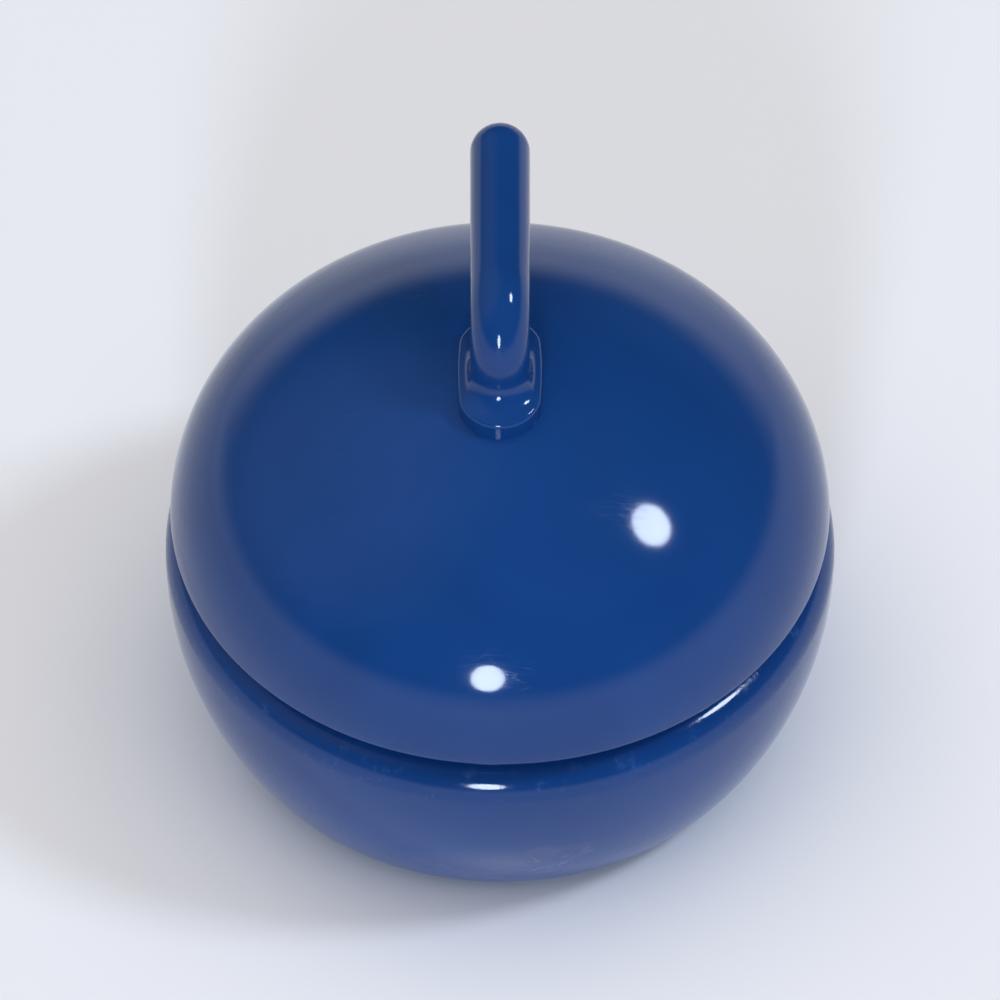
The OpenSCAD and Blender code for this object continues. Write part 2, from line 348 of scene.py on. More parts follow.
def makeZincPlate(s):
    # steel screws, barrel zinc-plated: cool grey, softly bright, mottled by the plating
    material, tree, shader = startMaterial("barrelZincPlate")
    place = addNode(tree, "ShaderNodeTexCoord").outputs["Object"]
    patches = addNode(tree, "ShaderNodeTexVoronoi", {"Scale": 1 / (s["crystalSize"] * mm)}, {"Vector": place})
    soft = addNode(tree, "ShaderNodeTexNoise", {"Scale": 1 / (s["softSize"] * mm), "Detail": 3.0},
                   {"Vector": place})
    tone = addNode(tree, "ShaderNodeSeparateXYZ", links={"Vector": patches.outputs["Color"]})
    mottle = addNode(tree, "ShaderNodeMix", {"data_type": "FLOAT", 0: s["crystalShare"]},
                     {2: soft.outputs[0], 3: tone.outputs[0]})
    colour = addNode(tree, "ShaderNodeMix", {"data_type": "RGBA", 6: hexToLinear(s["colour"]),
                                             7: hexToLinear(s["colourDull"])}, {0: mottle.outputs[0]})
    tree.links.new(colour.outputs[2], shader.inputs["Base Color"])
    rough = addNode(tree, "ShaderNodeMapRange", {"To Min": s["roughness"], "To Max": s["dullRoughness"]},
                    {"Value": mottle.outputs[0]})
    tree.links.new(rough.outputs[0], shader.inputs["Roughness"])
    bump = addNode(tree, "ShaderNodeBump", {"Strength": s["bumpStrength"], "Distance": s["bumpDepth"] * mm},
                   {"Height": soft.outputs[0]})
    tree.links.new(bump.outputs[0], shader.inputs["Normal"])
    shader.inputs["Metallic"].default_value = 1.0
    return material


absMaterial = makeGlossAbs(glossAbs)
acetalMaterial = makeAcetal(acetal)
steelMaterial = makeBearingSteel(bearingSteel)
zincMaterial = makeZincPlate(zincPlate)
print("materials made")


# Geometry Nodes: a turned piece, and a ring of copies

def startTree(name, inputs):
    tree = bpy.data.node_groups.new(name, "GeometryNodeTree")
    tree.interface.new_socket("Geometry", in_out="OUTPUT", socket_type="NodeSocketGeometry")
    for label, kind in inputs.items():
        tree.interface.new_socket(label, in_out="INPUT", socket_type="NodeSocket" + kind)
    return tree, addNode(tree, "NodeGroupInput").outputs


def endTree(tree, geometry, material):
    real = addNode(tree, "GeometryNodeRealizeInstances", links={"Geometry": geometry})
    painted = addNode(tree, "GeometryNodeSetMaterial",
                      links={"Geometry": real.outputs[0], "Material": material})
    addNode(tree, "NodeGroupOutput", links={"Geometry": painted.outputs[0]})
    return tree


def latheTree():
    # a profile line, drawn as radius and height, is swept round the axis
    tree, given = startTree("turnedPiece", {"Profile": "Geometry", "Turn Steps": "Int",
                                            "Sweep Radius": "Float", "Weld": "Float", "Material": "Material"})
    profile = addNode(tree, "GeometryNodeMeshToCurve", links={"Mesh": given["Profile"]})
    circle = addNode(tree, "GeometryNodeCurvePrimitiveCircle",
                     links={"Resolution": given["Turn Steps"], "Radius": given["Sweep Radius"]})
    upright = addNode(tree, "GeometryNodeSetCurveNormal", {"mode": "Z_UP"}, {"Curve": circle.outputs[0]})
    sweep = addNode(tree, "GeometryNodeCurveToMesh",
                    links={"Curve": upright.outputs[0], "Profile Curve": profile.outputs[0]})
    weld = addNode(tree, "GeometryNodeMergeByDistance",
                   links={"Geometry": sweep.outputs[0], "Distance": given["Weld"]})
    return endTree(tree, weld.outputs[0], given["Material"])


def ringTree():
    # copies of a piece stand on a circle round the axis, each turned to face outwards
    tree, given = startTree("ringOfCopies", {"Piece": "Geometry", "Count": "Int", "Ring Radius": "Float",
                                             "Start Angle": "Float", "Turn Spread": "Float", "Seed": "Int",
                                             "Material": "Material"})
    points = addNode(tree, "GeometryNodePoints", links={"Count": given["Count"]})
    index = addNode(tree, "GeometryNodeInputIndex").outputs[0]
    share = addNode(tree, "ShaderNodeMath", {"operation": "DIVIDE"}, {0: index, 1: given["Count"]})
    turn = addNode(tree, "ShaderNodeMath", {"operation": "MULTIPLY_ADD", 1: 2 * math.pi},
                   {0: share.outputs[0], 2: given["Start Angle"]}).outputs[0]
    cosine = addNode(tree, "ShaderNodeMath", {"operation": "COSINE"}, {0: turn})
    sine = addNode(tree, "ShaderNodeMath", {"operation": "SINE"}, {0: turn})
    outwards = addNode(tree, "ShaderNodeCombineXYZ", links={"X": cosine.outputs[0], "Y": sine.outputs[0]})
    place = addNode(tree, "ShaderNodeVectorMath", {"operation": "SCALE"},
                    {0: outwards.outputs[0], "Scale": given["Ring Radius"]})
    put = addNode(tree, "GeometryNodeSetPosition",
                  links={"Geometry": points.outputs[0], "Position": place.outputs[0]})
    chance = addNode(tree, "FunctionNodeRandomValue", {"data_type": "FLOAT", 2: -1.0, 3: 1.0},
                     {"ID": index, "Seed": given["Seed"]})
    spread = addNode(tree, "ShaderNodeMath", {"operation": "MULTIPLY_ADD"},
                     {0: chance.outputs[1], 1: given["Turn Spread"], 2: turn})
    spin = addNode(tree, "ShaderNodeCombineXYZ", links={"Z": spread.outputs[0]})
    copies = addNode(tree, "GeometryNodeInstanceOnPoints", links={"Points": put.outputs[0],
                                                                  "Instance": given["Piece"],
                                                                  "Rotation": spin.outputs[0]})
    return endTree(tree, copies.outputs[0], given["Material"])


def runTree(obj, tree, values):
    modifier = obj.modifiers.new(tree.name, "NODES")
    modifier.node_group = tree
    for item in tree.interface.items_tree:
        if item.in_out == "INPUT" and item.name in values:
            modifier[item.identifier] = values[item.name]
    return bakeModifiers(obj)


turnedPiece = latheTree()
ringOfCopies = ringTree()


def turnProfile(name, profile, material, closed=False, turnSteps=192):
    # the sweep puts the profile's x outwards from a tiny circle and its y downwards
    sweepRadius = 1.0 * mm
    points = [(r * mm - sweepRadius, -z * mm, 0) for r, z in profile]
    edges = [(i, i + 1) for i in range(len(points) - 1)]
    if closed:
        edges.append((len(points) - 1, 0))
    obj = meshObject(name, points, edges)
    runTree(obj, turnedPiece, {"Turn Steps": turnSteps, "Sweep Radius": sweepRadius, "Weld": weldDistance,
                               "Material": material})
    return cleanMesh(obj)


join = {"enlargement": 1000, "weld": 0.0001}  # the weld is in the enlarged size


def combine(obj, tool, operation):
    # done much larger than life, where the faces are well above the solver's rounding
    larger = Matrix.Scale(join["enlargement"], 4)
    obj.data.transform(larger)
    tool.data.transform(larger)
    modifier = obj.modifiers.new("join", "BOOLEAN")
    modifier.operation = operation
    modifier.solver = "EXACT"
    modifier.object = tool
    bakeModifiers(obj)
    bpy.data.objects.remove(tool)
    work = bmesh.new()
    work.from_mesh(obj.data)
    bmesh.ops.remove_doubles(work, verts=work.verts, dist=join["weld"])
    bmesh.ops.triangulate(work, faces=[face for face in work.faces if len(face.verts) > 4])
    work.to_mesh(obj.data)
    work.free()
    obj.data.transform(larger.inverted())
    return obj


def shiftMesh(obj, offset):
    for vertex in obj.data.vertices:
        vertex.co += Vector(offset) * mm


rodShape = {"turnSteps": 48, "twist": 0.037}  # the twist is in radians


def turnRod(name, radius, low, high, y=0.0):
    # turned a little about its own axis, so that its edges don't meet the shells' edges head on
    rod = turnProfile(name, [(0, low), (radius, low), (radius, high), (0, high)], absMaterial,
                      turnSteps=rodShape["turnSteps"])
    rod.data.transform(Matrix.Rotation(rodShape["twist"], 4, "Z"))
    shiftMesh(rod, (0, y, 0))
    return rod


# sizes that the pieces share, in mm, as are the sizes in each piece's dictionary

lowerBox = [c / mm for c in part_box("lower_shell")]
upperBox = [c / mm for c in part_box("upper_shell")]
handleBox = [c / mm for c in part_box("handle")]
ballBox = [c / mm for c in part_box("ball")]
retainerBox = [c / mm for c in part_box("ball_retainer")]
cupBox = [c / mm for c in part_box("ball_cup")]
screwBox = [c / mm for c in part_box("base_screw_1")]
handleScrewBox = [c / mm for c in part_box("handle_screw")]

partingZ = 10.5
ballGap = 0.08         # between the ball and its socket
cupRoof = 1.1          # over the ball
seatClearance = 0.05   # round the cup and the retainer
headHeight = 1.1       # of a screw
washerThickness = 0.3
pegRadius = 0.6        # the peg that stops the handle turning
pegInset = 4.3         # from the back of the handle's pad to the peg
pilotRadius = 0.87     # holes that hold a screw's thread
screwRoom = 0.6        # beyond the tip of a base screw
overshoot = 0.1        # by which a solid runs past the one that trims it
faceGap = 0.01         # keeps two faces apart that would coincide
cutterReach = 1.0      # by which a cutter sticks out of what it cuts

stoneRadius = lowerBox[1].x
undersideZ = lowerBox[0].z
crownZ = upperBox[1].z
domeRadius = upperBox[1].x
ballRadius = (ballBox[1].x - ballBox[0].x) / 2
ballZ = (ballBox[1].z + ballBox[0].z) / 2
cupRadius = retainerBox[1].x
screwX, screwY = [(screwBox[0][i] + screwBox[1][i]) / 2 for i in (0, 1)]
screwRing = math.hypot(screwX, screwY)
screwAngle = math.atan2(screwY, screwX)
bossTopZ = upperBox[0].z
cupTopZ = ballZ + ballRadius + ballGap + cupRoof
screwTipZ = screwBox[1].z
neckY = (handleScrewBox[0].y + handleScrewBox[1].y) / 2
washerZ = handleScrewBox[0].z + headHeight
seatLandZ = washerZ + washerThickness
pegY = handleBox[0].y + pegInset


def copyToScrews(obj, material, turnSpread=0.0, seed=0):
    # one copy where each base screw stands
    return runTree(obj, ringOfCopies, {"Count": 3, "Ring Radius": screwRing * mm, "Start Angle": screwAngle,
                                       "Turn Spread": turnSpread, "Seed": seed, "Material": material})


# upper shell: the dome with its wall and foot, and the posts, ribs, ring and lands moulded inside

dome = {
    "sideRadius": 6.8,
    "wall": 1.5,
    "footRound": 0.3,
    "rabbetRadius": 11.8,
    "rabbetTop": 12.0,
    "postRadius": 1.7,
    "ribThickness": 0.8,
    "ribReach": 2.62,
    "ribLow": 12.2,
    "ringWall": 1.3,
    "washerLandRadius": 2.3,
    "screwHoleRadius": 0.95,
    "pegLandWall": 1.0,
    "pegHoleGap": 0.05,
    "turnSteps": 224,
    "ringSteps": 96,
}
sideX = domeRadius - dome["sideRadius"]
domeHeight = crownZ - partingZ
rise = domeHeight - dome["sideRadius"]
crownDrop = (sideX ** 2 - rise ** 2) / (2 * rise)
crownRadius = crownDrop + domeHeight
crownCentre = partingZ - crownDrop
joinDegrees = math.degrees(math.atan2(crownDrop, sideX))


def domeLine(inset, fromDegrees=0.0):
    # the side's arc runs into the crown's arc without a kink
    side = arcPoints((sideX, partingZ), dome["sideRadius"] - inset, fromDegrees, joinDegrees)
    crown = arcPoints((0, crownCentre), crownRadius - inset, joinDegrees, 90)
    crown[-1] = (0, crown[-1][1])
    return side + crown[1:]


def makeUpperShell(s):
    foot = s["footRound"]
    outer = domeLine(0, math.degrees(math.asin(foot / s["sideRadius"])))
    start = outer[0]
    footRound = arcPoints((start[0] - foot, partingZ + foot), foot, -90, 0, step=12)
    inner = [p for p in domeLine(s["wall"]) if p[1] > s["rabbetTop"]]
    shelfX = sideX + math.sqrt((s["sideRadius"] - s["wall"]) ** 2 - (s["rabbetTop"] - partingZ) ** 2)
    profile = inner[::-1] + [(shelfX, s["rabbetTop"]), (s["rabbetRadius"], s["rabbetTop"]),
                             (s["rabbetRadius"], partingZ)] + footRound + outer[1:]
    shell = turnProfile("upperShell", profile, absMaterial, turnSteps=s["turnSteps"])

    inside = turnRod("postAndRib", s["postRadius"], bossTopZ, crownZ)
    half = s["ribThickness"] / 2
    corners = [(x, y, z) for x in (0, s["ribReach"]) for y in (-half, half)
               for z in (s["ribLow"], crownZ - 2 * overshoot)]
    sides = [(0, 1, 3, 2), (4, 6, 7, 5), (0, 4, 5, 1), (2, 3, 7, 6), (0, 2, 6, 4), (1, 5, 7, 3)]
    rib = meshObject("rib", [Vector(c) * mm for c in corners], faces=sides)
    combine(inside, rib, "UNION")
    copyToScrews(inside, absMaterial)
    # the pieces overshoot the wall by different heights, so that no two faces coincide before the trim
    ringTop = crownZ + overshoot
    ringInside = cupRadius - s["ringWall"]
    cupRing = turnProfile("cupRing", [(ringInside, cupTopZ), (cupRadius, cupTopZ), (cupRadius, ringTop),
                                      (ringInside, ringTop)],
                          absMaterial, closed=True, turnSteps=s["ringSteps"])
    combine(inside, cupRing, "UNION")
    washerLand = turnRod("washerLand", s["washerLandRadius"], seatLandZ, crownZ + 2 * overshoot, neckY)
    combine(inside, washerLand, "UNION")
    pegLand = turnRod("pegLand", pegRadius + s["pegLandWall"], seatLandZ + faceGap, crownZ + 3 * overshoot,
                      pegY)
    combine(inside, pegLand, "UNION")
    middle = s["wall"] / 2
    limit = turnProfile("middleOfWall",
                        [(0, undersideZ), (domeRadius - middle, undersideZ)] + domeLine(middle), absMaterial)
    combine(inside, limit, "INTERSECT")
    combine(shell, inside, "UNION")

    pilot = turnRod("pilotHole", pilotRadius, bossTopZ - cutterReach, screwTipZ + screwRoom)
    combine(shell, copyToScrews(pilot, absMaterial), "DIFFERENCE")
    low, high = seatLandZ - cutterReach, crownZ + cutterReach
    combine(shell, turnRod("screwHole", s["screwHoleRadius"], low, high, neckY), "DIFFERENCE")
    combine(shell, turnRod("pegHole", pegRadius + s["pegHoleGap"], low, high, pegY), "DIFFERENCE")
    setMaterial(shell, absMaterial)
    return cleanMesh(shell)


upperShell = makeUpperShell(dome)
print("upper shell turned:", len(upperShell.data.polygons), "faces")


# lower shell: bowl, shoulder, collar, lip, floor and the three counterbores

bowl = {
    "bellyRadius": 14.2,
    "shoulderRadius": 1.4,
    "edgeRadius": 1.2,
    "grooveHeight": 0.8,
    "grooveDepth": 1.0,
    "lipRadius": 11.7,
    "lipTop": 11.9,
    "innerRadius": 10.9,
    "floorTop": 2.2,
    "ledgeTop": 1.2,
    "ledgeWidth": 1.6,
    "mouthRound": 0.15,
    "bossWall": 0.6,
    "postLow": 0.4,      # above the underside
    "boreRadius": 1.65,
    "boreDepth": 2.1,
    "threadRadius": 0.95,
    "boreChamfer": 0.12,
    "turnSteps": 224,
    "boreSteps": 48,
}


def makeLowerShell(s):
    collar = stoneRadius - s["grooveDepth"]
    shoulderX = stoneRadius - s["shoulderRadius"]
    shoulderEnd = math.degrees(math.acos((s["shoulderRadius"] - s["grooveDepth"]) / s["shoulderRadius"]))
    shoulderZ = partingZ - s["grooveHeight"] - s["shoulderRadius"] * math.sin(math.radians(shoulderEnd))
    bellyX = stoneRadius - s["bellyRadius"]
    edgeZ = undersideZ + s["edgeRadius"]
    edgeX = bellyX + math.sqrt((s["bellyRadius"] - s["edgeRadius"]) ** 2 - (shoulderZ - edgeZ) ** 2)
    edgeDegrees = math.degrees(math.atan2(edgeZ - shoulderZ, edgeX - bellyX))
    seat = cupRadius + seatClearance
    boss = seat + s["bossWall"]
    ledge = seat - s["ledgeWidth"]
    mouth = s["mouthRound"]
    profile = (
        arcPoints((ledge + mouth, undersideZ + mouth), mouth, 180, 270, step=15)
        + arcPoints((edgeX, edgeZ), s["edgeRadius"], -90, edgeDegrees, step=4)
        + arcPoints((bellyX, shoulderZ), s["bellyRadius"], edgeDegrees, 0)[1:]
        + arcPoints((shoulderX, shoulderZ), s["shoulderRadius"], 0, shoulderEnd, step=3)[1:]
        + [(collar, partingZ), (s["lipRadius"], partingZ), (s["lipRadius"], s["lipTop"]),
           (s["innerRadius"], s["lipTop"]), (s["innerRadius"], s["floorTop"]), (boss, s["floorTop"]),
           (boss, bossTopZ), (seat, bossTopZ), (seat, s["ledgeTop"]), (ledge, s["ledgeTop"])]
    )
    shell = turnProfile("lowerShell", profile, absMaterial, closed=True, turnSteps=s["turnSteps"])
    bossPost = turnRod("bossPost", s["boreRadius"] + s["bossWall"], undersideZ + s["postLow"],
                       bossTopZ - faceGap)
    combine(shell, copyToScrews(bossPost, absMaterial), "UNION")
    low, high = undersideZ - cutterReach, bossTopZ + cutterReach
    bore, thread = s["boreRadius"], s["threadRadius"]
    seatZ = undersideZ + s["boreDepth"]
    chamfer = s["boreChamfer"]
    cutter = turnProfile("counterbore", [(0, low), (bore + chamfer, low), (bore + chamfer, undersideZ),
                                         (bore, undersideZ + chamfer), (bore, seatZ), (thread, seatZ),
                                         (thread, high), (0, high)], absMaterial, turnSteps=s["boreSteps"])
    combine(shell, copyToScrews(cutter, absMaterial), "DIFFERENCE")
    return cleanMesh(shell)


lowerShell = makeLowerShell(bowl)
setMaterial(lowerShell, absMaterial)
print("lower shell turned:", len(lowerShell.data.polygons), "faces")


# handle: one skin from the pad's foot up the neck, round the bend and out to the tip

grip = {
    "barRadius": 1.2,
    "bendRadius": 2.2,
    "padHalfLength": 2.8,
    "padThickness": 0.8,
    "padRound": 0.18,
    "padSides": 0.3,     # the pad's long sides are straight while the turn's sine is under this
    "flareHeight": 0.8,
    "sink": 0.03,        # into the dome
    "pegSink": 0.4,      # into the pad
    "holeTop": 22.6,
    "ringPoints": 112,
    "sideLow": 0.12,     # of the pad's second ring, over the dome
    "sideRings": 4,
    "rimStep": 15,       # degrees between rings
    "flareStep": 5,
    "tipStep": 5,
    "bendStart": 4,      # degrees
    "bendRings": 21,
    "barRings": 22,
    "sharpDegrees": 50,
}


def makeHandle(s):
    turn = np.arange(s["ringPoints"]) / s["ringPoints"] * 2 * math.pi
    circleX, circleY = np.cos(turn), np.sin(turn)
    padWide = (handleBox[1].x - handleBox[0].x) / 2
    padLong = s["padHalfLength"]
    padY = handleBox[0].y + padLong
    bar = s["barRadius"]
    barZ = handleBox[1].z - bar
    tipY = handleBox[1].y - bar
    rings = []

    def padOutline(inset):
        across, along = padWide - inset, padLong - inset
        straight = np.clip(circleY / s["padSides"], -1, 1) * (along - across)
        return across * circleX, padY + across * circleY + straight

    def surfaceZ(x, y, lift):
        return crownCentre + np.sqrt((crownRadius + lift) ** 2 - x ** 2 - y ** 2)

    def addRing(x, y, z):
        rings.append(np.stack([x + 0 * turn, y + 0 * turn, z + 0 * turn], 1))

    # the pad's side and rounded rim follow the dome
    top, rim = s["padThickness"], s["padRound"]
    x, y = padOutline(0)
    for lift in (-s["sink"], *np.linspace(s["sideLow"], top - rim, s["sideRings"])):
        addRing(x, y, surfaceZ(x, y, lift))
    for a in np.radians(np.arange(s["rimStep"], 91, s["rimStep"])):
        x, y = padOutline(rim * (1 - math.cos(a)))
        addRing(x, y, surfaceZ(x, y, top - rim + rim * math.sin(a)))

    # the pad's top sweeps up to the neck, flat where it leaves the rim and upright where it meets the bar
    footX, footY = padOutline(rim)
    for a in np.radians(np.arange(s["flareStep"], 91, s["flareStep"])):
        t = math.sin(a)
        x = footX * (1 - t) + bar * circleX * t
        y = footY * (1 - t) + (neckY + bar * circleY) * t
        addRing(x, y, surfaceZ(x, y, top) + s["flareHeight"] * (1 - math.cos(a)))

    # round the bend, along the bar and over its round tip
    bend = s["bendRadius"]
    bendZ = barZ - bend
    for a in np.radians(np.linspace(s["bendStart"], 90, s["bendRings"])):
        reach = bend - bar * circleY
        addRing(bar * circleX, neckY + bend - reach * math.cos(a), bendZ + reach * math.sin(a))
    for along in np.linspace(neckY + bend, tipY, s["barRings"])[1:]:
        addRing(bar * circleX, along, barZ - bar * circleY)
    for a in np.radians(np.arange(s["tipStep"], 90, s["tipStep"])):
        r = bar * math.cos(a)
        addRing(r * circleX, tipY + bar * math.sin(a), barZ - r * circleY)

    footMiddle = rings[0][:, 1].mean()
    foot = (0.0, footMiddle, surfaceZ(0, footMiddle, -s["sink"]))
    points = np.vstack(rings + [foot, (0.0, tipY + bar, barZ)]) * mm
    handle = meshObject("gripHandle", points, faces=skinFaces(len(rings), s["ringPoints"]))
    cleanMesh(handle, s["sharpDegrees"])
    # under the pad, out of sight: the peg that stops the handle turning, and the screw's hole
    combine(handle, turnRod("peg", pegRadius, crownZ - dome["wall"], crownZ + s["pegSink"], pegY), "UNION")
    combine(handle, turnRod("neckHole", pilotRadius, crownZ - cutterReach, s["holeTop"], neckY), "DIFFERENCE")
    setMaterial(handle, absMaterial)
    return cleanMesh(handle, s["sharpDegrees"])


gripHandle = makeHandle(grip)
print("handle skinned:", len(gripHandle.data.polygons), "faces")


# ball, retainer and cup

roller = {"cuts": 39}  # across each side of the cube that becomes the ball


def makeBall(s):
    work = bmesh.new()
    bmesh.ops.create_cube(work, size=2)
    bmesh.ops.subdivide_edges(work, edges=work.edges, cuts=s["cuts"], use_grid_fill=True)
    for vertex in work.verts:
        # equal-angle spacing keeps the faces alike from the middle of a side to its corner
        eased = Vector([math.tan(c * math.pi / 4) for c in vertex.co])
        vertex.co = eased.normalized() * ballRadius * mm + Vector((0, 0, ballZ * mm))
    ball = workObject("steelBall", work)
    setMaterial(cleanMesh(ball), steelMaterial)
    return ball


steelBall = makeBall(roller)

bearing = {"rimRound": 0.12, "spigotWall": 1.3, "turnSteps": 128}


def makeRetainer(s):
    # the socket's mouth is rounded so that it doesn't scrape the ball
    low, high = retainerBox[0].z, retainerBox[1].z
    rim = s["rimRound"]
    socket = ballRadius + ballGap
    mouth = math.degrees(math.asin((low + rim - ballZ) / socket))
    inside = arcPoints((0, ballZ), socket, mouth, 0, step=3)
    outer = arcPoints((cupRadius - rim, low + rim), rim, 0, -90, step=18)
    mouthX = math.sqrt(socket ** 2 - (low - ballZ) ** 2) + rim
    profile = inside + [(cupRadius, high)] + outer + [(mouthX, low)]
    return turnProfile("ballRetainer", profile, acetalMaterial, closed=True, turnSteps=s["turnSteps"])


def makeCup(s):
    # the spigot stands inside the ring under the dome
    low, high = cupBox[0].z, cupBox[1].z
    spigot = cupRadius - dome["ringWall"] - seatClearance
    spigotInside = spigot - s["spigotWall"]
    inside = arcPoints((0, ballZ), ballRadius + ballGap, 90, 0, step=3)
    inside[0] = (0, inside[0][1])
    profile = inside + [(cupRadius, low), (cupRadius, cupTopZ), (spigot, cupTopZ), (spigot, high),
                        (spigotInside, high), (spigotInside, cupTopZ), (0, cupTopZ)]
    return turnProfile("ballCup", profile, acetalMaterial, turnSteps=s["turnSteps"])


ballRetainer = makeRetainer(bearing)
ballCup = makeCup(bearing)
print("ball, retainer and cup made")


# screws: pan heads with a cross recess, and a real thread

screws = {
    "headRadius": 1.5,
    "headEdge": 0.08,
    "headRound": 0.5,     # of the head's height
    "headCrown": ((0.55, 0.03), (0.3, 0.0)),  # share of the head's radius, and mm below its top
    "crossLong": 1.8,
    "crossWide": 0.42,
    "crossDepth": 0.6,
    "crossFootLong": 0.5,  # shares of its length and width that are left at its foot
    "crossFootWide": 0.62,
    "threadRadius": 0.85,
    "threadWidth": 0.22,  # half of it, in pitches
    "threadSink": 0.05,   # of the closed end, into the head
    "coreRadius": 0.6,
    "pitch": 0.6,
    "levelsPerTurn": 10,
    "tipLength": 1.1,
    "tipCore": 0.3,       # of the core's radius
    "baseLength": 8.0,
    "handleLength": 4.6,
    "turnSpread": 1.2,    # radians, how far each screw happens to be turned
    "seed": 7,
    "steps": 40,
    "sharpDegrees": 38,
    "threadSharpDegrees": 60,
}


def makeScrew(name, s, length):
    # seat at z = 0, head below, thread above, as in the part's own screws
    head = s["headRadius"]
    curve = s["headRound"] * headHeight
    under = [(0, 0), (head - s["headEdge"], 0)]
    side = arcPoints((head - curve, -curve), curve, 40, -60, step=10)
    crown = [(head * share, drop - headHeight) for share, drop in s["headCrown"]] + [(0, -headHeight)]
    steps = s["steps"]
    screw = turnProfile(name, under + side + crown, zincMaterial, turnSteps=steps)
    for a in (0, math.pi / 2):
        work = bmesh.new()
        bmesh.ops.create_cube(work, size=1)
        for vertex in work.verts:
            deep = vertex.co.z > 0
            # the recess narrows as it goes in
            x = vertex.co.x * s["crossLong"] * (s["crossFootLong"] if deep else 1.0)
            y = vertex.co.y * s["crossWide"] * (s["crossFootWide"] if deep else 1.0)
            z = (s["crossDepth"] if deep else -2 * overshoot) - headHeight
            vertex.co = Vector((x * math.cos(a) - y * math.sin(a), x * math.sin(a) + y * math.cos(a), z)) * mm
        combine(screw, workObject("cross", work), "DIFFERENCE")

    perTurn = s["levelsPerTurn"]
    levels = int(length / s["pitch"] * perTurn) + 1
    points = []
    for k in range(levels + 1):
        z = min(length, k * s["pitch"] / perTurn)
        taper = min(1.0, (length - z) / s["tipLength"])
        core = s["coreRadius"] * (s["tipCore"] + (1 - s["tipCore"]) * taper)
        for i in range(steps):
            a = i / steps * 2 * math.pi
            phase = (z / s["pitch"] - i / steps) % 1.0
            crest = max(0.0, 1 - abs(phase - 0.5) / s["threadWidth"])
            radius = core + (s["threadRadius"] - s["coreRadius"]) * crest * taper
            points.append((radius * math.cos(a) * mm, radius * math.sin(a) * mm, z * mm))
    points += [(0, 0, -s["threadSink"] * mm), (0, 0, length * mm)]
    thread = meshObject("thread", points, faces=skinFaces(levels + 1, steps))
    cleanMesh(thread, s["threadSharpDegrees"])
    combine(screw, thread, "UNION")
    return cleanMesh(screw, s["sharpDegrees"])


baseScrews = makeScrew("baseScrews", screws, screws["baseLength"])
copyToScrews(baseScrews, zincMaterial, screws["turnSpread"], screws["seed"])
shiftMesh(baseScrews, (0, 0, screwBox[0].z + headHeight))
cleanMesh(baseScrews, screws["sharpDegrees"])

handleScrew = makeScrew("handleScrew", screws, screws["handleLength"])
setMaterial(handleScrew, zincMaterial)
shiftMesh(handleScrew, (0, neckY, washerZ))
print("screws made:", len(baseScrews.data.polygons), "faces")


# every piece to its body

for piece, body, slot, nodes in (
    (upperShell, "stone", "shell_plastic", ("upper_shell",)),
    (lowerShell, "stone", "shell_plastic", ("lower_shell",)),
    (gripHandle, "stone", "shell_plastic", ("handle",)),
    (ballRetainer, "stone", "bearing_plastic", ("ball_retainer",)),
    (ballCup, "stone", "bearing_plastic", ("ball_cup",)),
    (steelBall, "rolling_ball", "ball_steel", ("ball",)),
    (baseScrews, "stone", "fastener_steel", ("base_screw_1", "base_screw_2", "base_screw_3")),
    (handleScrew, "stone", "fastener_steel", ("handle_screw",)),
):
    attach(piece, body)
    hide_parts(*nodes)
setMaterial(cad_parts["handle_washer"], zincMaterial)
print("pieces placed")


# floor, light and camera, in metres and watts

studio = {
    "floorSize": 6.0,
    "floorColour": "#f1f2f6",
    "floorRoughness": 0.8,
    "clearStep": 0.85 * mm,    # the underside stands 0.6 mm above the floor
    "mirrorReach": 0.3,
    "cameraColour": "#e5e6ec",
    "backdropTop": 0.24,       # sine of the elevation at which the backdrop has faded
    "horizonColour": "#9aa0ac",
    "horizonLevel": 0.2,
    "horizonTop": 0.1,         # sine of the elevation up to which the room keeps this tone
    "ceilingColour": "#8f959f",
    "ceilingLevel": 0.1,
    "ceilingLow": 0.6,         # sine of the elevation from which it has the ceiling's
    "windowAzimuth": 165.0,
    "windowElevation": 46.0,
    "windowLevel": 0.28,
    "windowEdge": 0.62,        # cosine of the angle that the window's glow reaches
    "target": (0, 0, 0.012),
    "lampDistance": 1.15,
    "frontLamp": {"azimuth": -94.0, "elevation": 21.6, "size": 0.2, "tall": 0.36, "power": 6.2,
                  "colour": "#dceaff"},
    "sideLamp": {"azimuth": -2.9, "elevation": 49.4, "size": 0.22, "tall": 0.22, "power": 4.0,
                 "colour": "#dceaff"},
    "fillLamp": {"height": 1.3, "size": 1.8, "tall": 1.8, "power": 14.6, "colour": "#fff8ef"},
    "underLamp": {"depth": 0.1, "size": 0.06, "power": 1.3, "reach": 11.9 * mm, "softEdge": 0.25},
}


